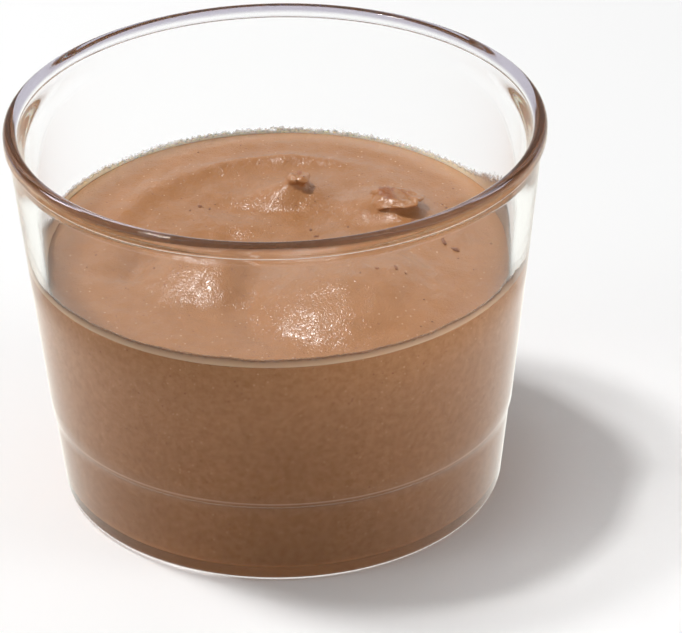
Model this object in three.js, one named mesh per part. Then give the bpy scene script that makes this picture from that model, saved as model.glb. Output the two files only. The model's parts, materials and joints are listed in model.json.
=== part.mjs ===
// A portion of chocolate mousse in its clear pot.
// Millimetres, +Z up. The origin is the centre of the pot's underside, which stands on z = 0.
// The front of the swirl faces -Y.
import * as THREE from "three";
import { mergeVertices } from "three/addons/utils/BufferGeometryUtils.js";

// ---- Driving dimensions -------------------------------------------------------------------
const POT_HEIGHT = 62.5;
const RIM_RADIUS = 42; // to the outside of the bead
const SEGMENTS = 80; // round the axis, for the pot and the mousse alike

// The pot's wall: a cone outside, a slightly steeper cone inside.
const WALL_TOP_RADIUS = 41.6; // the outer cone, carried up to the rim's height
const WALL_BASE_RADIUS = 35.3; // the outer cone, carried down to the underside
const WALL_AT_SHOULDER = 2.4; // wall thickness where the lip begins
const WALL_AT_FLOOR = 2.7;
const FLOOR = 1.7;
const HEEL_RADIUS = 1.2; // outside, where the wall meets the underside
const INNER_HEEL_RADIUS = 2; // inside, where the wall meets the floor

// The lip: fully rounded, and proud of the wall outside as a narrow bead.
const LIP_RADIUS = 1.1;
const BEAD_HEIGHT = 2.5;
const BEAD_FILLET = 0.6;
const SHOULDER_DEPTH = 5; // below the rim, where the inner cone reaches the lip

// The mould's seam: a small step round the lower wall.
const SEAM_HEIGHT = 14.2;
const SEAM_STEP = 0.25;
const SEAM_RISE = 0.35;

// The mousse: its surface meets the wall at this height, and leans down a little to the front.
const FILL_HEIGHT = 40.4;
const FILL_LEAN = 0.6; // higher at the back than on the axis, and as much lower at the front
const WALL_GAP = 0.3; // between the two solids
const EDGE_ROUNDING = 0.8; // the surface turns down to the wall over this width
const RINGS = 22; // of the surface's mesh, from the centre to the edge
const SIDE_SHARES = [0.3, 0.6, 0.85, 0.97]; // of the side's height, where its rings lie

const degrees = (angle) => (angle * Math.PI) / 180;
const mix = (a, b, t) => a + (b - a) * t;
const clamp01 = (t) => Math.min(1, Math.max(0, t));
const smooth = (t) => clamp01(t) ** 2 * (3 - 2 * clamp01(t));

// Outer and inner radius of the pot's wall at a height above the underside.
const outerRadius = (z) => mix(WALL_BASE_RADIUS, WALL_TOP_RADIUS, z / POT_HEIGHT);
const shoulderHeight = POT_HEIGHT - SHOULDER_DEPTH;
const innerRadius = (z) =>
  mix(
    outerRadius(FLOOR) - WALL_AT_FLOOR,
    outerRadius(shoulderHeight) - WALL_AT_SHOULDER,
    (z - FLOOR) / (shoulderHeight - FLOOR),
  );

// Points of an arc in the (radius, height) half-plane, both ends included.
function arc(centre, radius, fromAngle, toAngle, steps) {
  return Array.from({ length: steps + 1 }, (_, i) => {
    const angle = degrees(mix(fromAngle, toAngle, i / steps));
    return new THREE.Vector2(
      centre.x + radius * Math.cos(angle),
      centre.y + radius * Math.sin(angle),
    );
  });
}

// A closed solid of revolution about +Z from a profile that starts and ends on the axis.
function revolve(profile) {
  const geometry = new THREE.LatheGeometry(profile, SEGMENTS);
  geometry.rotateX(Math.PI / 2); // the lathe turns about +Y
  return geometry;
}

// ---- The pot ------------------------------------------------------------------------------
function potGeometry() {
  const at = (radius, height) => new THREE.Vector2(radius, height);
  const heelCentre = at(outerRadius(0) - SEAM_STEP - HEEL_RADIUS, HEEL_RADIUS);
  const lipCentre = at(RIM_RADIUS - LIP_RADIUS, POT_HEIGHT - LIP_RADIUS);
  const beadFoot = POT_HEIGHT - BEAD_HEIGHT;
  const filletCentre = at(RIM_RADIUS - BEAD_FILLET, beadFoot + BEAD_FILLET);
  const innerHeelTop = FLOOR + INNER_HEEL_RADIUS;
  const innerHeelCentre = at(innerRadius(innerHeelTop) - INNER_HEEL_RADIUS, innerHeelTop);
  const profile = [
    at(0, 0),
    ...arc(heelCentre, HEEL_RADIUS, -90, 0, 3),
    at(outerRadius(SEAM_HEIGHT) - SEAM_STEP, SEAM_HEIGHT),
    at(outerRadius(SEAM_HEIGHT + SEAM_RISE), SEAM_HEIGHT + SEAM_RISE),
    at(outerRadius(beadFoot), beadFoot),
    ...arc(filletCentre, BEAD_FILLET, -90, 0, 2),
    ...arc(lipCentre, LIP_RADIUS, 0, 180, 6),
    at(innerRadius(shoulderHeight), shoulderHeight),
    ...arc(innerHeelCentre, INNER_HEEL_RADIUS, 0, -90, 4),
    at(0, FLOOR),
  ];
  return revolve(profile);
}

// ---- The swirl on the mousse --------------------------------------------------------------
// Places on the surface are given as a distance from the axis and a bearing: 0 is to the right
// (+X), 90 to the back (+Y), -90 to the front.
const place = (radius, bearing) =>
  new THREE.Vector2(radius * Math.cos(degrees(bearing)), radius * Math.sin(degrees(bearing)));

// The outline of the last, inner turn of the swirl: its radius against bearing.
const TURN_RADIUS = 24.6;
const TURN_BULGES = [
  { bearing: -70, reach: 8, width: 24 }, // pushed out to the front
  { bearing: 40, reach: 1.5, width: 30 },
  { bearing: -15, reach: -1.5, width: 20 },
];
// The turn's edge: below the ring round it at the back left, above it at the front right.
const TURN_RISE_MIDDLE = 0.05;
const TURN_RISE_SWING = 0.85;
const TURN_RISE_BEARING = -25; // where the turn stands highest over the ring
const TURN_EDGE_WIDTH = 3.2;

// Soft mounds: centre, half-lengths along and across, the bearing of the long axis and height.
// A boxier one has flatter sides.
const MOUNDS = [
  { name: "front left", at: place(15, -136), long: 12, wide: 9.5, turned: -12, height: 3.7, boxy: 2.2 },
  { name: "front right", at: place(21.5, -62), long: 16, wide: 14, turned: -16, height: 4.3, boxy: 2.4 },
  { name: "right shelf", at: place(23, -20), long: 17, wide: 12, turned: 75, height: 1.3, boxy: 2 },
  { name: "under the peak", at: place(16.5, 83), long: 8, wide: 6, turned: 5, height: 1.5, boxy: 2 },
  { name: "under the fold", at: place(19.5, 27), long: 8.5, wide: 6.5, turned: -20, height: 2, boxy: 2 },
  { name: "dished centre", at: place(5, 10), long: 13, wide: 9, turned: 0, height: -0.8, boxy: 2 },
];

const MOUND_FULLNESS = 0.65; // 0: a soft bell that runs out flat, 1: a full dome

// Creases between them: a line of places, depth and width.
const CREASES = [
  {
    name: "between the front mounds",
    along: [place(10, -95), place(15, -107), place(22, -103), place(27, -97)],
    depth: 0.9,
    width: 2.6,
  },
  {
    name: "over the front left mound",
    along: [place(25, -160), place(21, -172), place(14, 175), place(7, 160)],
    depth: 0.9,
    width: 2.4,
  },
  {
    name: "round the peak",
    along: [place(15, 125), place(10, 100), place(10, 62), place(14, 30), place(15, 8)],
    depth: 0.7,
    width: 2.6,
  },
];

// Low rings left by the nozzle between the turn and the wall.
const NOZZLE_RINGS = [
  { radius: 26.8, height: 0.55, width: 1.6, bearing: 95, spread: 75 },
  { radius: 33, height: 0.35, width: 1.8, bearing: 100, spread: 80 },
];

// The two torn tips that stand on the peak and the fold.
const TIPS = [
  { name: "peak", at: place(16.6, 79), radius: 2.6, height: 1.9 },
  { name: "fold", at: place(20.4, 21), radius: 3.8, height: 1.9 },
];

// The smallest angle between two bearings.
function turnBetween(a, b) {
  const turn = Math.abs(a - b) % 360;
  return Math.min(turn, 360 - turn);
}

function distanceToLine(point, line) {
  let nearest = Infinity;
  for (let i = 1; i < line.length; i++) {
    const start = line[i - 1];
    const run = line[i].clone().sub(start);
    const along = clamp01(point.clone().sub(start).dot(run) / run.lengthSq());
    nearest = Math.min(nearest, point.distanceTo(start.clone().addScaledVector(run, along)));
  }
  return nearest;
}

function turnOutline(bearing) {
  return TURN_BULGES.reduce(
    (radius, b) => radius + b.reach * Math.exp(-((turnBetween(bearing, b.bearing) / b.width) ** 2)),
    TURN_RADIUS,
  );
}

function turnRelief(radius, bearing) {
  const rise =
    TURN_RISE_MIDDLE + TURN_RISE_SWING * Math.cos(degrees(bearing - TURN_RISE_BEARING));
  const inside = (turnOutline(bearing) - radius) / TURN_EDGE_WIDTH + 0.5;
  const fadeToCentre = smooth(radius / (0.8 * TURN_RADIUS));
  return rise * smooth(inside) * mix(0.45, 1, fadeToCentre);
}

function moundRelief(point) {
  return MOUNDS.reduce((sum, mound) => {
    const local = point.clone().sub(mound.at);
    local.rotateAround(new THREE.Vector2(), -degrees(mound.turned));
    const reach =
      (Math.abs(local.x / mound.long) ** mound.boxy + Math.abs(local.y / mound.wide) ** mound.boxy) **
      (1 / mound.boxy);
    return sum + mound.height * mix(smooth(1 - reach), clamp01(1 - reach ** 2), MOUND_FULLNESS);
  }, 0);
}

function creaseRelief(point) {
  return CREASES.reduce(
    (sum, crease) =>
      sum - crease.depth * Math.exp(-((distanceToLine(point, crease.along) / crease.width) ** 2)),
    0,
  );
}

function ringRelief(radius, bearing) {
  return NOZZLE_RINGS.reduce((sum, ring) => {
    const across = Math.exp(-(((radius - ring.radius) / ring.width) ** 2));
    const around = Math.exp(-((turnBetween(bearing, ring.bearing) / ring.spread) ** 2));
    return sum + ring.height * across * around;
  }, 0);
}

function tipRelief(point) {
  return TIPS.reduce(
    (sum, tip) => sum + tip.height * smooth(1 - point.distanceTo(tip.at) / tip.radius),
    0,
  );
}

// Height of the mousse's surface above the underside of the pot.
function surfaceHeight(radius, bearing) {
  const point = place(radius, bearing);
  const edge = innerRadius(FILL_HEIGHT) - WALL_GAP;
  const level = FILL_HEIGHT + (FILL_LEAN * point.y) / edge;
  const relief =
    turnRelief(radius, bearing) +
    moundRelief(point) +
    creaseRelief(point) +
    ringRelief(radius, bearing) +
    tipRelief(point);
  const turnDown = clamp01(1 - (edge - radius) / EDGE_ROUNDING) ** 2;
  return level + relief * smooth((edge - radius) / 4) + EDGE_ROUNDING * (1 - turnDown) * 0.5;
}

// ---- The mousse ---------------------------------------------------------------------------
// One closed body: the relief on top, the wall's taper at the side and the rounded foot.
function mousseGeometry() {
  const foot = FLOOR + WALL_GAP;
  const footRadius = INNER_HEEL_RADIUS - WALL_GAP;
  const footTop = foot + footRadius;
  const sideRadius = (z) => innerRadius(z) - WALL_GAP;
  const footArc = arc(
    new THREE.Vector2(sideRadius(footTop) - footRadius, footTop), footRadius, -90, 0, 3);

  // Rings of the body, from the foot's edge up the side and in to the middle of the surface.
  const edgeRadius = sideRadius(FILL_HEIGHT);
  const rings = footArc.map((p) => () => [p.x, p.y]);
  for (const share of SIDE_SHARES)
    rings.push((bearing) => {
      const height = mix(footTop, surfaceHeight(edgeRadius, bearing), share);
      return [sideRadius(height), height];
    });
  for (let i = RINGS; i >= 1; i--)
    rings.push((bearing) => {
      const radius = edgeRadius * ringFraction(i);
      const height = surfaceHeight(radius, bearing);
      return [i === RINGS ? sideRadius(height) : radius, height];
    });

  const positions = [0, 0, foot];
  for (const ring of rings)
    for (let s = 0; s < SEGMENTS; s++) {
      const bearing = (360 * s) / SEGMENTS;
      const [radius, height] = ring(bearing);
      const point = place(radius, bearing);
      positions.push(point.x, point.y, height);
    }
  positions.push(0, 0, surfaceHeight(0, 0));

  const faces = [];
  const index = (ring, s) => 1 + ring * SEGMENTS + (s % SEGMENTS);
  const top = 1 + rings.length * SEGMENTS;
  for (let s = 0; s < SEGMENTS; s++) {
    faces.push(0, index(0, s + 1), index(0, s));
    faces.push(top, index(rings.length - 1, s), index(rings.length - 1, s + 1));
    for (let r = 0; r + 1 < rings.length; r++) {
      faces.push(index(r, s), index(r, s + 1), index(r + 1, s));
      faces.push(index(r, s + 1), index(r + 1, s + 1), index(r + 1, s));
    }
  }
  const geometry = new THREE.BufferGeometry();
  geometry.setAttribute("position", new THREE.Float32BufferAttribute(positions, 3));
  geometry.setIndex(faces);
  return mergeVertices(geometry);
}

// The surface's rings crowd a little towards the wall, where it turns down.
function ringFraction(i) {
  return 1 - (1 - i / RINGS) ** 1.12;
}

// ---- The scene graph ----------------------------------------------------------------------
const clearWall = new THREE.MeshStandardMaterial({
  name: "clear pot",
  color: 0xf4f6f5,
  roughness: 0.04,
  metalness: 0,
  transparent: true,
  opacity: 0.3,
});
const chocolateMousse = new THREE.MeshStandardMaterial({
  name: "chocolate mousse",
  color: 0xb9845e,
  roughness: 0.5,
  metalness: 0,
});

function named(name, geometry, material) {
  geometry.computeVertexNormals();
  const mesh = new THREE.Mesh(geometry, material);
  mesh.name = name;
  return mesh;
}

const dessert = new THREE.Group();
dessert.add(named("pot", potGeometry(), clearWall));
dessert.add(named("mousse", mousseGeometry(), chocolateMousse));
export default dessert;
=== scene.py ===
import json
import math
import random

import bpy
from mathutils import Matrix, Vector, noise

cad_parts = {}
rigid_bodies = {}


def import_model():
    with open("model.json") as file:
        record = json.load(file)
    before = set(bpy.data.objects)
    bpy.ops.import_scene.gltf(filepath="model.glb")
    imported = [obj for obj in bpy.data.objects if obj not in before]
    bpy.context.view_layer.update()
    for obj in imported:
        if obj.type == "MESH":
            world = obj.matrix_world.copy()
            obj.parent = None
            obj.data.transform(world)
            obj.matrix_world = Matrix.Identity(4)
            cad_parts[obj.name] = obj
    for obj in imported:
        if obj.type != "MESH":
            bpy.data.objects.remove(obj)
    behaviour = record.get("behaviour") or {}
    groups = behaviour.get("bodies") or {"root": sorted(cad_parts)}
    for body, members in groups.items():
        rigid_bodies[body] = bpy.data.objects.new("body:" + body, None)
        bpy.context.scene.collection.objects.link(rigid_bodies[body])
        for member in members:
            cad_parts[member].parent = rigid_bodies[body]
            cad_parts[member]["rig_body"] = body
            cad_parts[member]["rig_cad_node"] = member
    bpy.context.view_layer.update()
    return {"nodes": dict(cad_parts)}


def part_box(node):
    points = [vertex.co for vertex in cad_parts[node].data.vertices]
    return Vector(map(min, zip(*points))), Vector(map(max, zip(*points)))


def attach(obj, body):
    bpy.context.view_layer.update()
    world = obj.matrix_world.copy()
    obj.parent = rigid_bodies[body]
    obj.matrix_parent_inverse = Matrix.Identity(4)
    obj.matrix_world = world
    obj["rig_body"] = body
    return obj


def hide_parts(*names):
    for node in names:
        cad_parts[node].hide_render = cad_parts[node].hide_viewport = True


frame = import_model()

# ---- The pot ------------------------------------------------------------------------------
# A clear round pot with a straight taper, moulded in one piece: an even wall, a rounded lip
# with a narrow bead outside it, and the fine step of the mould's seam low on the wall.
pot_low, pot_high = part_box("pot")
pot_height = pot_high.z - pot_low.z
rim_radius = (pot_high.x - pot_low.x) / 2
bead_overhang = 0.0004
base_inset = 0.0067
wall_top_radius = rim_radius - bead_overhang
wall_base_radius = rim_radius - base_inset
wall_at_shoulder = 0.0024
wall_at_floor = 0.0027
floor_thickness = 0.0017
heel_radius = 0.0012
inner_heel_radius = 0.002
lip_radius = 0.0011
bead_height = 0.0025
bead_fillet = 0.0006
shoulder_drop = 0.005
shoulder_height = pot_height - shoulder_drop
seam_height = 0.0142
seam_step = 0.00025
seam_rise = 0.00035
turned_steps = 288
heel_steps = 8
lower_wall_steps = 8
seam_steps = 6
wall_steps = 16
fillet_steps = 8
lip_steps = 16
lip_blend_steps = 12
inner_heel_steps = 10


def mix(start, end, share):
    return start + (end - start) * share


def outer_radius(z):
    return mix(wall_base_radius, wall_top_radius, z / pot_height)


def inner_radius(z):
    share = (z - floor_thickness) / (shoulder_height - floor_thickness)
    at_floor = outer_radius(floor_thickness) - wall_at_floor
    return mix(at_floor, outer_radius(shoulder_height) - wall_at_shoulder, share)


def straight(start, end, steps):
    """Points along a straight stretch of a profile, without its first."""
    shares = [i / steps for i in range(1, steps + 1)]
    return [(mix(start[0], end[0], s), mix(start[1], end[1], s)) for s in shares]


def arc(centre, radius, start, end, steps):
    """Points of an arc in the (radius, height) half-plane."""
    angles = [math.radians(mix(start, end, i / steps)) for i in range(steps + 1)]
    return [(centre[0] + radius * math.cos(a), centre[1] + radius * math.sin(a)) for a in angles]


def turned_shell(name, profile, steps):
    """A round shell: a disc, its edge drawn out ring by ring along the profile, then closed."""
    bpy.ops.object.select_all(action="DESELECT")
    radius, height = profile[0]
    bpy.ops.mesh.primitive_circle_add(
        vertices=steps, radius=radius, fill_type="NGON", location=(0, 0, height)
    )
    shell = bpy.context.object
    shell.name = name
    bpy.ops.object.transform_apply(location=True, rotation=True, scale=True)
    bpy.ops.object.mode_set(mode="EDIT")
    bpy.ops.mesh.select_mode(type="EDGE")
    bpy.ops.mesh.select_all(action="SELECT")
    bpy.ops.mesh.region_to_loop()
    for next_radius, next_height in profile[1:]:
        bpy.ops.mesh.extrude_edges_move(
            TRANSFORM_OT_translate={"value": (0, 0, next_height - height)}
        )
        scale = next_radius / radius
        bpy.ops.transform.resize(value=(scale, scale, 1), center_override=(0, 0, next_height))
        radius, height = next_radius, next_height
    bpy.ops.mesh.edge_face_add()
    bpy.ops.mesh.select_all(action="SELECT")
    bpy.ops.mesh.normals_make_consistent(inside=False)
    bpy.ops.object.mode_set(mode="OBJECT")
    return shell


heel_centre = (outer_radius(0) - seam_step - heel_radius, heel_radius)
lip_centre = (rim_radius - lip_radius, pot_height - lip_radius)
bead_foot = pot_height - bead_height
fillet_centre = (rim_radius - bead_fillet, bead_foot + bead_fillet)
inner_heel_top = floor_thickness + inner_heel_radius
inner_heel_centre = (inner_radius(inner_heel_top) - inner_heel_radius, inner_heel_top)
inner_slope = (inner_radius(shoulder_height) - inner_radius(floor_thickness)) / (
    shoulder_height - floor_thickness
)


def seam_blend(share):
    """The seam's small step, with both its corners rounded."""
    eased = share * share * (3 - 2 * share)
    height = seam_height + seam_rise * share
    return (outer_radius(height) - seam_step * (1 - eased), height)


def lip_blend(share):
    """From the lip's inner side, which stands upright, down to the wall's inner cone."""
    start = (rim_radius - 2 * lip_radius, pot_height - lip_radius)
    end = (inner_radius(shoulder_height), shoulder_height)
    upright_share = 0.35
    sloping_share = 0.45
    depth = start[1] - end[1]
    above = (start[0], start[1] - upright_share * depth)
    below = (end[0] + sloping_share * depth * inner_slope, end[1] + sloping_share * depth)
    rest = 1 - share
    weights = (rest**3, 3 * share * rest**2, 3 * share**2 * rest, share**3)
    pulls = list(zip(weights, (start, above, below, end)))
    return tuple(sum(weight * point[i] for weight, point in pulls) for i in (0, 1))


heel_top = (heel_centre[0] + heel_radius, heel_centre[1])
seam_foot = seam_blend(0)
seam_head = seam_blend(1)
bead_start = (outer_radius(bead_foot), bead_foot)
inner_shoulder = (inner_radius(shoulder_height), shoulder_height)
inner_foot = (inner_heel_centre[0] + inner_heel_radius, inner_heel_top)
pot = turned_shell(
    "clear_pot",
    [
        *arc(heel_centre, heel_radius, -90, 0, heel_steps),
        *straight(heel_top, seam_foot, lower_wall_steps),
        *[seam_blend(i / seam_steps) for i in range(1, seam_steps + 1)],
        *straight(seam_head, bead_start, wall_steps),
        *arc(fillet_centre, bead_fillet, -90, 0, fillet_steps),
        *arc(lip_centre, lip_radius, 0, 180, lip_steps),
        *[lip_blend(i / lip_blend_steps) for i in range(1, lip_blend_steps + 1)],
        *straight(inner_shoulder, inner_foot, wall_steps),
        *arc(inner_heel_centre, inner_heel_radius, 0, -90, inner_heel_steps)[1:],
    ],
    turned_steps,
)
bpy.ops.object.shade_smooth_by_angle(angle=math.radians(35))


def set_up(tree, node, inputs):
    """Gives a node's named inputs fixed values, or links them to other nodes' outputs."""
    for name, value in inputs.items():
        if isinstance(value, bpy.types.NodeSocket):
            tree.links.new(value, node.inputs[name])
        else:
            node.inputs[name].default_value = value
    return node


def add_node(tree, kind, inputs):
    return set_up(tree, tree.nodes.new(kind), inputs)


def ranged(tree, value, start, end, low=0, high=1, curve="LINEAR"):
    """Maps a value that goes from start to end to one that goes from low to high."""
    inputs = {"Value": value, "From Min": start, "From Max": end, "To Min": low, "To Max": high}
    node = add_node(tree, "ShaderNodeMapRange", inputs)
    node.interpolation_type = curve
    return node.outputs["Result"]


def blended(tree, share, first, second, kind="MIX"):
    """Blends two colours: the first where the share is 0, the second where it is 1."""
    node = tree.nodes.new("ShaderNodeMix")
    node.data_type = "RGBA"
    node.blend_type = kind
    return set_up(tree, node, {"Factor": share, "A": first, "B": second}).outputs["Result"]


def show_either(tree, share, first, second):
    """Makes the surface the first shader where the share is 0, the second where it is 1."""
    either = tree.nodes.new("ShaderNodeMixShader")
    for value, socket in zip((share, first, second), either.inputs):
        tree.links.new(value, socket)
    tree.links.new(either.outputs["Shader"], tree.nodes["Material Output"].inputs["Surface"])


# The wall is clear and faintly rippled. The rounded top of the lip is painted a faint mauve
# shade:
# painted shade, standing in for the dark band that the light makes in the curve of the lip.
clear_tone = (0.985, 0.988, 0.985, 1)
lip_shade_tone = (0.32, 0.29, 0.38, 1)
lip_shade_from = pot_height - 0.0012
lip_shade_to = pot_height - 0.0005
clear = bpy.data.materials.new("clear_moulded_pot")
clear.use_nodes = True
tree = clear.node_tree
here = tree.nodes.new("ShaderNodeTexCoord").outputs["Object"]
rise = add_node(tree, "ShaderNodeSeparateXYZ", {"Vector": here}).outputs["Z"]
# Painted shade on the lip: none 1.2 mm below its top, full from 0.5 mm below it.
on_lip = ranged(tree, rise, lip_shade_from, lip_shade_to, curve="SMOOTHSTEP")
ripple = add_node(tree, "ShaderNodeTexNoise", {"Vector": here, "Scale": 60.0, "Detail": 1.0})
relief = {"Height": ripple.outputs["Fac"], "Strength": 0.06, "Distance": 0.0004}
glass = set_up(
    tree,
    tree.nodes["Principled BSDF"],
    {
        "Base Color": blended(tree, on_lip, clear_tone, lip_shade_tone),
        "Roughness": 0.02,
        "IOR": 1.52,
        "Transmission Weight": 1.0,
        "Specular Tint": (0.15, 0.15, 0.15, 1),
        "Normal": add_node(tree, "ShaderNodeBump", relief).outputs["Normal"],
    },
)
# Lamps shine through the wall, less where they meet it at a slant.
slant = add_node(tree, "ShaderNodeLayerWeight", {"Blend": 0.25})
lamp_share = ranged(tree, slant.outputs["Facing"], 0, 1, 0.96, 0.35)
passed = add_node(tree, "ShaderNodeBsdfTransparent", {"Color": lamp_share})
path = tree.nodes.new("ShaderNodeLightPath")
show_either(tree, path.outputs["Is Shadow Ray"], glass.outputs["BSDF"], passed.outputs["BSDF"])
pot.data.materials.append(clear)
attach(pot, "root")
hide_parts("pot")

# ---- The mousse ---------------------------------------------------------------------------
# Whipped chocolate mousse, filled to about two thirds with one soft swirl and left to set. It
# clings to the wall all the way down, so its side reaches just into the clear wall. Its two
# peaks were torn off and folded over as the nozzle was lifted.
fill_height = 0.0404
side_gap = 0.0003
reach_out = 1.0122
foot_press = 0.00005
heel_press = 0.00012
side_top = fill_height - 0.005

bpy.ops.object.select_all(action="DESELECT")
cad_mousse = frame["nodes"]["mousse"]
cad_mousse.select_set(True)
bpy.context.view_layer.objects.active = cad_mousse
bpy.ops.object.duplicate()
mousse = bpy.context.object
mousse.name = "chocolate_mousse"
mousse.parent = None
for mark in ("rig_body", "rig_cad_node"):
    if mark in mousse:
        del mousse[mark]
mousse.data.materials.clear()
bpy.ops.object.mode_set(mode="EDIT")
bpy.ops.mesh.select_all(action="SELECT")
bpy.ops.mesh.remove_doubles(threshold=1e-6)
bpy.ops.mesh.tris_convert_to_quads(face_threshold=3.2, shape_threshold=3.2)
bpy.ops.object.mode_set(mode="OBJECT")


def select_points(thing, wanted):
    """Leaves the thing in edit mode, with the points selected whose place passes the test."""
    bpy.ops.object.mode_set(mode="EDIT")
    bpy.ops.mesh.select_mode(type="VERT")
    bpy.ops.mesh.select_all(action="DESELECT")
    bpy.ops.object.mode_set(mode="OBJECT")
    for point in thing.data.vertices:
        point.select = wanted(point.co)
    bpy.ops.object.mode_set(mode="EDIT")


def from_axis(co):
    return math.hypot(co.x, co.y)


def on_side(co):
    return from_axis(co) > inner_radius(co.z) - 1.5 * side_gap or co.z < side_top


# The side is pressed out to the wall and the foot down to the floor.
foot_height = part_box("mousse")[0].z
drop = (fill_height - floor_thickness + foot_press) / (fill_height - foot_height)
select_points(mousse, on_side)
bpy.ops.transform.resize(value=(reach_out, reach_out, drop), center_override=(0, 0, fill_height))
bpy.ops.object.mode_set(mode="OBJECT")

# The foot is pressed a little further, into the pot's rounded inner heel.
select_points(mousse, lambda co: co.z < floor_thickness + 2 * inner_heel_radius)
bpy.ops.transform.shrink_fatten(value=heel_press)
bpy.ops.object.mode_set(mode="OBJECT")

# The line where the surface meets the wall stays sharp.
contact_radius = inner_radius(fill_height) - side_gap
edge_height = 0.0009
edge_width = 0.0001


def on_edge(co):
    return co.z > fill_height - edge_height and from_axis(co) > contact_radius - edge_width


select_points(mousse, on_edge)
bpy.ops.transform.edge_crease(value=1.0)
bpy.ops.object.mode_set(mode="OBJECT")

# The relief of the surface lies above this height, and the steps of a tip are in millimetres.
relief_low = fill_height - 0.002
millimetre = 0.001


def draw_out(thing, at, reach, steps):
    """Draws a tip out of the surface: each step moves, then shrinks, the faces drawn so far."""
    bpy.ops.object.mode_set(mode="EDIT")
    bpy.ops.mesh.select_mode(type="FACE")
    bpy.ops.mesh.select_all(action="DESELECT")
    bpy.ops.object.mode_set(mode="OBJECT")
    chosen = [f for f in thing.data.polygons if (f.center.xy - Vector(at)).length < reach]
    chosen = [f for f in chosen if f.center.z > relief_low]
    for face in chosen:
        face.select = True
    middle = sum((f.center for f in chosen), Vector()) / len(chosen)
    bpy.ops.object.mode_set(mode="EDIT")
    for shift, shrink in steps:
        move = Vector(shift) * millimetre
        middle += move
        bpy.ops.mesh.extrude_region_move(TRANSFORM_OT_translate={"value": move})
        bpy.ops.transform.resize(value=(shrink, shrink, shrink), center_override=middle)
    bpy.ops.object.mode_set(mode="OBJECT")


peak_at = (0.0031, 0.0164)
peak_reach = 0.0021
peak_steps = (
    ((0.1, 0, 0.5), 0.75),
    ((0.2, -0.1, 0.5), 0.95),
    ((0.4, -0.5, 0.4), 1.0),
    ((0.4, -0.6, -0.3), 0.6),
)
fold_at = (0.0186, 0.0085)
fold_reach = 0.0036
fold_steps = (
    ((0.1, -0.2, 0.6), 0.92),
    ((0.6, -0.7, 0.6), 0.98),
    ((1.2, -1.2, 0.1), 0.85),
    ((0.9, -0.8, -0.5), 0.6),
)
draw_out(mousse, peak_at, peak_reach, peak_steps)
draw_out(mousse, fold_at, fold_reach, fold_steps)
smooth = mousse.modifiers.new("soft", "SUBSURF")
smooth.levels = smooth.render_levels = 2
bpy.ops.object.modifier_apply(modifier="soft")


def weigh_points(thing, name, weights):
    """A vertex group with the weight of each point's place, where that is above 0."""
    group = thing.vertex_groups.new(name=name)
    for point in thing.data.vertices:
        weight = weights(point.co)
        if weight > 0:
            group.add([point.index], min(weight, 1.0), "REPLACE")


def roughen(thing, name, size, depth, weights):
    """Clouds of the given size and depth, laid along the thing's normals by the weights."""
    weigh_points(thing, name, weights)
    clouds = bpy.data.textures.new(name, "CLOUDS")
    clouds.noise_scale = size
    clouds.noise_depth = 2
    uneven = thing.modifiers.new(name, "DISPLACE")
    uneven.texture = clouds
    uneven.texture_coords = "LOCAL"
    uneven.strength = depth
    uneven.mid_level = 0.5
    uneven.vertex_group = name
    bpy.ops.object.modifier_apply(modifier=name)


def open_surface(co):
    """On the surface only: from 0 at the wall to 1 at 3 mm from it."""
    return (contact_radius - from_axis(co)) / 0.003 if co.z > fill_height - 0.004 else 0


def torn_tips(co):
    """1 or more on the torn tips, and down to 0 within 1.5 mm round them."""
    to_peak = (co.xy - Vector(peak_at)).length - 0.0012
    to_fold = (co.xy - Vector(fold_at)).length - 0.0028
    return 1 - min(to_peak, to_fold) / 0.0015 if co.z > fill_height else 0


def hump(distance):
    """A smooth hump: 1 at its middle, 0 beyond a distance of 1."""
    return math.cos(min(abs(distance), 1) * math.pi / 2) ** 2


def heap_up(thing, name, height, weights):
    """Raises the surface by the height times the weights, straight along its normals."""
    weigh_points(thing, name, lambda co: weights(co) if co.z > relief_low else 0)
    raised = thing.modifiers.new(name, "DISPLACE")
    raised.strength = height
    raised.mid_level = 0
    raised.vertex_group = name
    bpy.ops.object.modifier_apply(modifier=name)


def back_ridge(co):
    """A ridge at a radius of 26.6 mm, which runs 34 degrees to each side of the very back."""
    bearing = math.degrees(math.atan2(co.y, co.x))
    return hump((from_axis(co) - 0.0266) / 0.0017) * hump((bearing - 90) / 34)


def mound(place, reach):
    """Weights of a round mound at a place, which reaches so far round it."""
    return lambda co: hump((co.xy - Vector(place)).length / reach)


# Where the nozzle turned, the ridge behind the peaks and the foot of each peak stand up more.
heap_up(mousse, "back_ridge", 0.0005, back_ridge)
heap_up(mousse, "peak_foot", 0.0007, mound((0.0008, 0.0142), 0.0042))
heap_up(mousse, "fold_foot", 0.0005, mound((0.0158, 0.0090), 0.0034))
roughen(mousse, "broad_waves", 0.006, 0.0007, open_surface)
roughen(mousse, "small_waves", 0.0016, 0.00022, open_surface)
roughen(mousse, "torn_edges", 0.0008, 0.0005, torn_tips)
bpy.ops.object.shade_smooth()


def worked_out(tree, operation, *values):
    """The result of a Math node, whose values are fixed numbers or other nodes' outputs."""
    node = tree.nodes.new("ShaderNodeMath")
    node.operation = operation
    for value, socket in zip(values, node.inputs):
        if isinstance(value, bpy.types.NodeSocket):
            tree.links.new(value, socket)
        else:
            socket.default_value = value
    return node.outputs["Value"]


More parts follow.
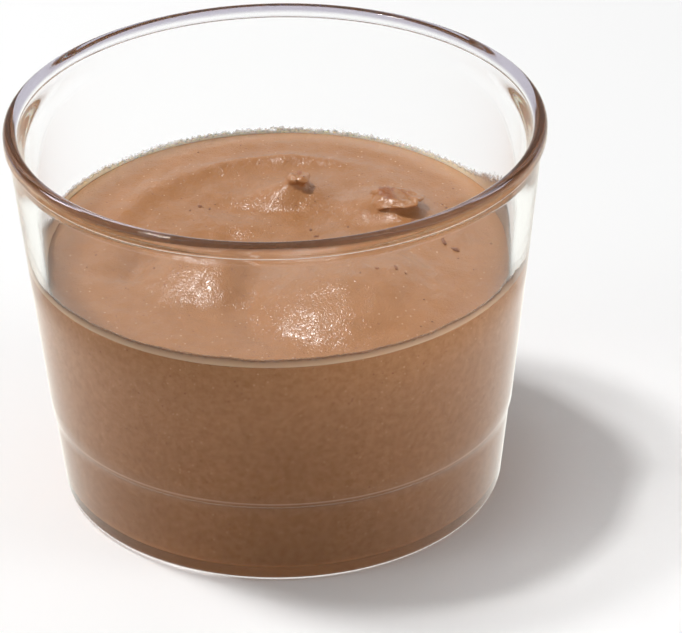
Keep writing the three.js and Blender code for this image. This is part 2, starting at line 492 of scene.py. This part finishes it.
# Every finish of the mousse is full of bubbles: pits and lumps of a few tenths of a millimetre,
# and a colour that varies a little from place to place.
foam = bpy.data.node_groups.new("whipped_foam", "ShaderNodeTree")
for name, kind, default in (
    ("Deep", "NodeSocketColor", (0.40, 0.18, 0.07, 1)),
    ("Pale", "NodeSocketColor", (0.48, 0.23, 0.10, 1)),
    ("Patch Size", "NodeSocketFloat", 400.0),
    ("Bubble Size", "NodeSocketFloat", 2200.0),
    ("Bubble Depth", "NodeSocketFloat", 0.5),
):
    foam.interface.new_socket(name, in_out="INPUT", socket_type=kind).default_value = default
foam.interface.new_socket("Color", in_out="OUTPUT", socket_type="NodeSocketColor")
foam.interface.new_socket("Roughness", in_out="OUTPUT", socket_type="NodeSocketFloat")
foam.interface.new_socket("Normal", in_out="OUTPUT", socket_type="NodeSocketVector")
given = foam.nodes.new("NodeGroupInput").outputs
here = foam.nodes.new("ShaderNodeTexCoord").outputs["Object"]
patches = add_node(
    foam,
    "ShaderNodeTexNoise",
    {"Vector": here, "Scale": given["Patch Size"], "Detail": 6.0, "Roughness": 0.62},
)
patchy = ranged(foam, patches.outputs["Fac"], 0.34, 0.66)
colour = blended(foam, patchy, given["Deep"], given["Pale"])
# Here and there lies a pale or a dark dot.
dots = add_node(foam, "ShaderNodeTexVoronoi", {"Vector": here, "Scale": 1500.0})
dot_shape = ranged(foam, dots.outputs["Distance"], 0.26, 0.14)
dot_kind = add_node(foam, "ShaderNodeSeparateColor", {"Color": dots.outputs["Color"]})
for channel, least, dot_tone in (
    ("Red", 0.88, (0.62, 0.38, 0.22, 1)),
    ("Green", 0.93, (0.30, 0.12, 0.06, 1)),
):
    chosen = worked_out(foam, "GREATER_THAN", dot_kind.outputs[channel], least)
    dotted = worked_out(foam, "MULTIPLY", chosen, dot_shape)
    colour = blended(foam, dotted, colour, dot_tone)
lumps = add_node(
    foam,
    "ShaderNodeTexNoise",
    {
        "Vector": here,
        "Scale": given["Bubble Size"],
        "Detail": 1.0,
        "Roughness": 0.6,
        "Distortion": 1.2,
    },
).outputs["Fac"]
pits = add_node(foam, "ShaderNodeTexVoronoi", {"Vector": here, "Scale": given["Bubble Size"]})
pit_shape = ranged(foam, pits.outputs["Distance"], 0, 0.35)
pit_share = 0.35
height = worked_out(foam, "MULTIPLY_ADD", pit_shape, pit_share, lumps)
relief = {"Height": height, "Strength": given["Bubble Depth"], "Distance": 0.00012}
set_up(
    foam,
    foam.nodes.new("NodeGroupOutput"),
    {
        "Color": colour,
        "Roughness": ranged(foam, lumps, 0, 1, 0.34, 0.52),
        "Normal": add_node(foam, "ShaderNodeBump", relief).outputs["Normal"],
    },
)


def mousse_finish(name, deep, pale, patch_size, bubble_size, bubble_depth):
    """A Principled material fed by the foam; returns it, its shader and the foam's outputs."""
    finish = bpy.data.materials.new(name)
    finish.use_nodes = True
    tree = finish.node_tree
    texture = tree.nodes.new("ShaderNodeGroup")
    texture.node_tree = foam
    set_up(
        tree,
        texture,
        {
            "Deep": (*deep, 1),
            "Pale": (*pale, 1),
            "Patch Size": patch_size,
            "Bubble Size": bubble_size,
            "Bubble Depth": bubble_depth,
        },
    )
    shader = set_up(
        tree,
        tree.nodes["Principled BSDF"],
        {
            "Base Color": texture.outputs["Color"],
            "Roughness": texture.outputs["Roughness"],
            "Normal": texture.outputs["Normal"],
            "Subsurface Weight": 0.2,
            "Subsurface Radius": (1.0, 0.6, 0.4),
            "Subsurface Scale": 0.0015,
        },
    )
    return finish, shader, texture.outputs


def length_of(tree, vector):
    node = tree.nodes.new("ShaderNodeVectorMath")
    node.operation = "LENGTH"
    tree.links.new(vector, node.inputs[0])
    return node.outputs["Value"]


# The open surface: satin, and paler near the wall at the back: painted light, standing in for the
# light that the clear wall lets in and throws back onto the surface there.
wall_glow_width = 0.0055
wall_glow_strength = 0.6
wall_glow_from, wall_glow_full = -0.018, 0.012
wall_glow_tone = (0.66, 0.37, 0.20, 1)
open_finish, shader, texture = mousse_finish(
    "chocolate_mousse", (0.405, 0.178, 0.067), (0.443, 0.200, 0.079), 350.0, 2100.0, 0.9
)
tree = open_finish.node_tree
here = tree.nodes.new("ShaderNodeTexCoord").outputs["Object"]
axes = add_node(tree, "ShaderNodeSeparateXYZ", {"Vector": here}).outputs
flat = add_node(tree, "ShaderNodeCombineXYZ", {"X": axes["X"], "Y": axes["Y"]})
radius = length_of(tree, flat.outputs["Vector"])
# The painted light fades in over the last 5.5 mm to the wall, and only towards the back.
near_wall = ranged(
    tree, radius, contact_radius - wall_glow_width, contact_radius, 0, wall_glow_strength, "SMOOTHSTEP"
)
behind = ranged(tree, axes["Y"], wall_glow_from, wall_glow_full, curve="SMOOTHSTEP")
wall_glow_share = worked_out(tree, "MULTIPLY", near_wall, behind)
set_up(
    tree,
    shader,
    {
        "Base Color": blended(tree, wall_glow_share, texture["Color"], wall_glow_tone),
        "Specular IOR Level": 0.15,
        "Coat Weight": 0.8,
        "Coat Roughness": 0.19,
        "Coat Normal": texture["Normal"],
    },
)
mousse.data.materials.append(open_finish)

# Against the wall and the floor: wetted by the contact, so matt, and finely mottled. It is
# painted darker towards the foot, as shade where less light reaches the lower side.
foot_shade_from = 0.03
foot_shade_tone = (0.72, 0.64, 0.51, 1)
wall_finish, shader, texture = mousse_finish(
    "mousse_at_the_wall", (0.415, 0.20, 0.088), (0.50, 0.26, 0.13), 900.0, 1500.0, 0.05
)
tree = wall_finish.node_tree
here = tree.nodes.new("ShaderNodeTexCoord").outputs["Object"]
rise = add_node(tree, "ShaderNodeSeparateXYZ", {"Vector": here}).outputs["Z"]
# Painted shade: darkening from 30 mm high down to the floor.
foot_shade = ranged(tree, rise, foot_shade_from, floor_thickness)
colour = blended(tree, foot_shade, texture["Color"], foot_shade_tone, "MULTIPLY")
# At the mould's seam a pale line is painted round the mousse: a painted highlight where the
# seam's step catches the light, with a line of painted shade under it.
for line_height, half_width, strength, line_tone in (
    (seam_height - 0.0005, 0.0006, 0.5, (0.25, 0.13, 0.06, 1)),
    (seam_height + 0.00015, 0.00018, 0.55, (0.72, 0.50, 0.36, 1)),
):
    away = worked_out(tree, "ABSOLUTE", worked_out(tree, "SUBTRACT", rise, line_height))
    on_line = ranged(tree, away, half_width, 0, 0, strength, "SMOOTHSTEP")
    colour = blended(tree, on_line, colour, line_tone)
set_up(tree, shader, {"Base Color": colour, "Specular IOR Level": 0.0})
mousse.data.materials.append(wall_finish)

# The torn tips: rough, and a deeper brown.
torn_from = 0.0442
torn_finish = mousse_finish(
    "torn_mousse", (0.28, 0.095, 0.035), (0.40, 0.155, 0.062), 900.0, 1800.0, 1.0
)[0]
mousse.data.materials.append(torn_finish)


def give_finish(thing, slot, wanted):
    """Gives the finish in a slot to the faces whose points all pass the test."""
    select_points(thing, wanted)
    bpy.ops.mesh.select_mode(type="FACE")
    thing.active_material_index = slot
    bpy.ops.object.material_slot_assign()
    bpy.ops.object.mode_set(mode="OBJECT")


def in_the_wall(co):
    return co.z < side_top or from_axis(co) > inner_radius(co.z) + 0.00002


give_finish(mousse, 1, in_the_wall)
give_finish(mousse, 2, lambda co: torn_tips(co) > 1 and co.z > torn_from)
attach(mousse, "root")
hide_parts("mousse")

# ---- Crumbs -------------------------------------------------------------------------------
# Specks of chocolate and torn shreds of mousse that lie on the surface, a few tenths of a
# millimetre across. Most lie scattered, and a few lie in rows where the nozzle was lifted.
# Each row: where it starts and ends, how many crumbs it has, and their size.
crumb_rows = (
    ((0.0215, 0.0026), (0.0262, 0.0004), 5, 0.00042),
    ((0.0262, -0.0040), (0.0275, -0.0052), 2, 0.00036),
    ((0.0010, -0.0072), (0.0058, -0.0070), 4, 0.00036),
    ((0.0055, 0.0042), (0.0062, -0.0008), 3, 0.00034),
    ((0.0120, -0.0190), (0.0175, -0.0165), 3, 0.00030),
    ((-0.0120, 0.0135), (-0.0105, 0.0128), 2, 0.00034),
)
crumb_stray = 0.0004
scattered_crumbs = 46
clear_of_wall = 0.002
draw = random.Random(7)
crumb_places = []
for start, end, count, size in crumb_rows:
    for i in range(count):
        along = Vector(start).lerp(Vector(end), i / max(count - 1, 1))
        stray = Vector((draw.uniform(-1, 1), draw.uniform(-1, 1))) * crumb_stray
        crumb_places.append((along + stray, size * draw.uniform(0.6, 1.2)))
for i in range(scattered_crumbs):
    reach = (contact_radius - clear_of_wall) * math.sqrt(draw.random())
    bearing = draw.uniform(0, 2 * math.pi)
    place = Vector((reach * math.cos(bearing), reach * math.sin(bearing)))
    crumb_places.append((place, draw.uniform(0.00010, 0.00022)))
loose_crumbs = []
for place, size in crumb_places:
    spot = mousse.ray_cast((*place, pot_height), (0, 0, -1))[1]
    bpy.ops.object.select_all(action="DESELECT")
    bpy.ops.mesh.primitive_ico_sphere_add(subdivisions=2, radius=size, location=spot)
    crumb = bpy.context.object
    bpy.ops.object.mode_set(mode="EDIT")
    bpy.ops.transform.resize(value=(draw.uniform(0.8, 1.9), draw.uniform(0.6, 1.1), 0.5))
    turn = draw.uniform(0, math.pi)
    bpy.ops.transform.rotate(value=turn, orient_axis="Z", center_override=spot)
    bpy.ops.mesh.vertices_smooth(factor=0.5)
    bpy.ops.transform.vertex_random(offset=size * 0.35, seed=len(loose_crumbs))
    bpy.ops.object.mode_set(mode="OBJECT")
    loose_crumbs.append(crumb)
bpy.ops.object.select_all(action="DESELECT")
for crumb in loose_crumbs:
    crumb.select_set(True)
bpy.context.view_layer.objects.active = loose_crumbs[0]
bpy.ops.object.join()
bpy.ops.object.transform_apply(location=True, rotation=True, scale=True)
crumbs = bpy.context.object
crumbs.name = "chocolate_crumbs"
bpy.ops.object.shade_smooth()
crumb_finish = mousse_finish(
    "chocolate_crumb", (0.17, 0.06, 0.03), (0.36, 0.15, 0.07), 500.0, 3000.0, 0.4
)[0]
crumbs.data.materials.append(crumb_finish)
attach(crumbs, "root")

# ---- The smear on the wall ----------------------------------------------------------------
# A thin smear of mousse, dried on the inner wall above the surface as the pot was filled. It is
# about a tenth of a millimetre thick and 1.5 mm high, and reaches higher at the right and left.
smear_height = 0.0015
smear_thickness = 0.00012
smear_sink = 0.00008
smear_rows = 14
smear_steps = 480
surface_lean = 0.0006
below_surface = 0.0003
# Each high place: its bearing and half width in degrees, and how much higher it is.
high_places = (
    (12, 26, 0.0034),
    (3, 5, 0.0022),
    (-22, 12, 0.0010),
    (170, 16, 0.0013),
    (186, 14, 0.0040),
)


def smear_top(bearing):
    """How far the smear reaches above the surface, at a bearing in degrees."""
    angle = math.radians(bearing)
    round_about = Vector((math.cos(angle), math.sin(angle), 0))
    frayed = 0.15 * max(0.2, round_about.y) * noise.noise(round_about * 70)
    top = smear_height * (1 + 0.2 * noise.noise(round_about * 7) + frayed)
    for middle, half_width, extra in high_places:
        away = (bearing - middle + 180) % 360 - 180
        ragged = 1 + 0.5 * noise.noise(round_about * 45 + Vector((0, 0, 5)))
        top += extra * ragged * hump(away / half_width)
    return top


bpy.ops.object.select_all(action="DESELECT")
bpy.ops.mesh.primitive_circle_add(vertices=smear_steps, radius=contact_radius, location=(0, 0, 0))
smear = bpy.context.object
smear.name = "smear_on_wall"
bpy.ops.object.mode_set(mode="EDIT")
bpy.ops.mesh.select_all(action="SELECT")
for row in range(smear_rows):
    bpy.ops.mesh.extrude_edges_move(TRANSFORM_OT_translate={"value": (0, 0, 1)})
bpy.ops.mesh.select_all(action="SELECT")
bpy.ops.mesh.normals_make_consistent(inside=False)
bpy.ops.object.mode_set(mode="OBJECT")
cover = smear.data.attributes.new("cover", "FLOAT", "POINT")
for point in smear.data.vertices:
    share = point.co.z / smear_rows
    angle = math.atan2(point.co.y, point.co.x)
    foot = fill_height + surface_lean * math.sin(angle) - below_surface
    height = share * (smear_top(math.degrees(angle)) + below_surface)
    cover.data[point.index].value = 1 - share
    radius = inner_radius(foot + height) + smear_sink
    point.co = (radius * math.cos(angle), radius * math.sin(angle), foot + height)
thick = smear.modifiers.new("thickness", "SOLIDIFY")
thick.thickness = smear_sink + smear_thickness
thick.offset = -1
bpy.ops.object.modifier_apply(modifier="thickness")
bpy.ops.object.shade_smooth()

# Dried on: dull, and thinning out towards its edge, where a dark line of painted shade runs along
# its top. It is worn to a lace at the back, where it is palest: partly its own thin pale colour,
# partly painted light where the lamp shines through it. It is browner at the right.
edge_shade_tone = (0.33, 0.21, 0.14, 1)
foot_tone = (0.64, 0.49, 0.34, 1)
pale_and_lit_back_tone = (0.95, 0.88, 0.77, 1)
right_tone = (0.27, 0.20, 0.15, 1)
dried = bpy.data.materials.new("dried_smear")
dried.use_nodes = True
tree = dried.node_tree
here = tree.nodes.new("ShaderNodeTexCoord").outputs["Object"]
axes = add_node(tree, "ShaderNodeSeparateXYZ", {"Vector": here}).outputs
behind = ranged(tree, axes["Y"], 0.008, 0.030)
to_right = ranged(tree, axes["X"], 0.030, 0.036, 0, 0.8)
cover_here = tree.nodes.new("ShaderNodeAttribute")
cover_here.attribute_name = "cover"
covered = cover_here.outputs["Fac"]
# The dark top edge is painted shade; the pale back is partly painted light.
colour = blended(tree, ranged(tree, covered, 0.1, 0.7), edge_shade_tone, foot_tone)
colour = blended(tree, behind, colour, pale_and_lit_back_tone)
colour = blended(tree, to_right, colour, right_tone)
speckle = add_node(tree, "ShaderNodeTexNoise", {"Vector": here, "Scale": 1500.0, "Detail": 3.0})
even_density = 0.5
laciness = ranged(tree, behind, 0, 1, 0.3, 1)
lace = {"Factor": laciness, "A": even_density, "B": speckle.outputs["Fac"]}
lace = add_node(tree, "ShaderNodeMix", lace).outputs["Result"]
density = worked_out(tree, "ADD", lace, covered)
thinner_behind = -0.4
density = worked_out(tree, "MULTIPLY_ADD", behind, thinner_behind, density)
set_up(
    tree,
    tree.nodes["Principled BSDF"],
    {
        "Base Color": colour,
        "Alpha": ranged(tree, density, 0.4, 0.8),
        "Roughness": 0.5,
        "Subsurface Weight": 1.0,
        "Subsurface Radius": (1.0, 0.8, 0.55),
        "Subsurface Scale": 0.0006,
    },
)
smear.data.materials.append(dried)
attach(smear, "root")

# ---- The floor, the lamps and the camera --------------------------------------------------
# A white table top under one large soft lamp high at the left, in an evenly lit white room.
table_gap = 0.0001
bpy.ops.object.select_all(action="DESELECT")
bpy.ops.mesh.primitive_plane_add(size=6, location=(0, 0, pot_low.z - table_gap))
table = bpy.context.object
table.name = "table_top"
bpy.ops.object.transform_apply(location=True, rotation=True, scale=True)


def undulled(tree, path, bounce):
    """1 for a ray that has made such a bounce and has met no dull surface, otherwise 0."""
    bounced = worked_out(tree, "GREATER_THAN", path[bounce], 0.5)
    sharp = worked_out(tree, "LESS_THAN", path["Diffuse Depth"], 0.5)
    return worked_out(tree, "MULTIPLY", bounced, sharp)


# Painted reflection: for rays reflected in the wall, the table glows bright near the pot and
# behind it, and dim at the sides.
bright_radius, dim_radius = 0.073, 0.088
side_brightness, near_brightness = 0.28, 1.3
behind_from, behind_full = 0.025, 0.045
paper = bpy.data.materials.new("white_table")
paper.use_nodes = True
tree = paper.node_tree
here = tree.nodes.new("ShaderNodeTexCoord").outputs["Object"]
depth = add_node(tree, "ShaderNodeSeparateXYZ", {"Vector": here}).outputs["Y"]
painted_glow = ranged(
    tree,
    length_of(tree, here),
    dim_radius,
    bright_radius,
    side_brightness,
    near_brightness,
    "SMOOTHSTEP",
)
far_side = ranged(tree, depth, behind_from, behind_full, curve="SMOOTHSTEP")
strength = worked_out(tree, "MAXIMUM", painted_glow, far_side)
reflected = {"Color": (1, 1, 0.95, 1), "Strength": strength}
reflected = add_node(tree, "ShaderNodeEmission", reflected).outputs["Emission"]
matt = {"Base Color": (0.95, 0.95, 0.95, 1), "Roughness": 0.9}
matt = set_up(tree, tree.nodes["Principled BSDF"], matt).outputs["BSDF"]
path = tree.nodes.new("ShaderNodeLightPath").outputs
show_either(tree, undulled(tree, path, "Glossy Depth"), matt, reflected)
table.data.materials.append(paper)

# A faint light pad in the table, under the pot, which brightens the mousse's underside.
pad_radius = outer_radius(0) - heel_radius
bpy.ops.mesh.primitive_circle_add(
    vertices=96, radius=pad_radius, fill_type="NGON", location=(0, 0, -table_gap / 2)
)
pad = bpy.context.object
pad.name = "light_pad"
bpy.ops.object.transform_apply(location=True, rotation=True, scale=True)
glowing = bpy.data.materials.new("light_pad")
glowing.use_nodes = True
set_up(
    glowing.node_tree,
    glowing.node_tree.nodes["Principled BSDF"],
    {
        "Base Color": (0.9, 0.9, 0.9, 1),
        "Emission Color": (1, 1, 1, 1),
        "Emission Strength": 0.7,
    },
)
pad.data.materials.append(glowing)

# The room looks white to the camera and in the pot's glass, while its light on the mousse and
# the table is dimmer.
lighting_strength = 0.28
shown_strength = 0.95
room = bpy.data.worlds.new("white_room")
bpy.context.scene.world = room
room.use_nodes = True
tree = room.node_tree
path = tree.nodes.new("ShaderNodeLightPath").outputs
in_glass = undulled(tree, path, "Transmission Depth")
in_sight = worked_out(tree, "MAXIMUM", in_glass, path["Is Camera Ray"])
brightness = ranged(tree, in_sight, 0, 1, lighting_strength, shown_strength)
set_up(tree, tree.nodes["Background"], {"Color": (1, 1, 1, 1), "Strength": brightness})
room.cycles.sampling_method = "NONE"


def soft_lamp(name, bearing, rise, distance, size, watts):
    """A round soft lamp aimed at the pot, from a bearing and a height in degrees."""
    data = bpy.data.lights.new(name, "AREA")
    data.shape = "DISK"
    data.size = size
    data.energy = watts
    lamp = bpy.data.objects.new(name, data)
    bpy.context.scene.collection.objects.link(lamp)
    raised = Matrix.Rotation(-math.radians(rise), 3, "Y")
    away = Matrix.Rotation(math.radians(bearing), 3, "Z") @ raised
    aim = Vector((0, 0, pot_height / 2))
    lamp.location = aim + away @ Vector((distance, 0, 0))
    lamp.rotation_euler = (aim - lamp.location).to_track_quat("-Z", "Y").to_euler()
    lamp.visible_transmission = False  # the wall already lets its light through
    return lamp


soft_lamp("key_lamp", 161, 66.4, 1.2, 0.16, 10.4)
for name, bearing, watts in (("fill_right", -16, 4.0), ("fill_left", 196, 2.8)):
    soft_lamp(name, bearing, 10, 1.0, 0.5, watts).visible_glossy = False

# The camera looks down at the rim's centre, then is turned a little to frame the pot.
view_distance = 15.351 * rim_radius
view_rise = math.radians(26.61)
turn_right, tip_up, roll = -0.837, -2.759, 1.401
camera_data = bpy.data.cameras.new("camera")
camera_data.sensor_width = 36
camera_data.lens = 220.58
camera = bpy.data.objects.new("camera", camera_data)
bpy.context.scene.collection.objects.link(camera)
rim_centre = Vector((0, 0, pot_high.z))
camera_place = rim_centre + view_distance * Vector((0, -math.cos(view_rise), math.sin(view_rise)))
aim = (rim_centre - camera_place).normalized()
across = Vector((1, 0, 0))
upward = across.cross(aim)
camera_axes = [across, upward, aim]
for axis, angle in ((1, turn_right), (0, tip_up), (2, roll)):
    turn = Matrix.Rotation(math.radians(angle), 3, camera_axes[axis])
    camera_axes = [turn @ direction for direction in camera_axes]
across, upward, aim = camera_axes
camera.matrix_world = Matrix.Translation(camera_place) @ Matrix(
    (across, upward, -aim)
).transposed().to_4x4()
bpy.context.scene.camera = camera
bpy.context.scene.view_settings.view_transform = "Standard"
bpy.context.scene.cycles.max_bounces = 40
bpy.context.scene.cycles.transmission_bounces = 40
bpy.context.scene.cycles.glossy_bounces = 16
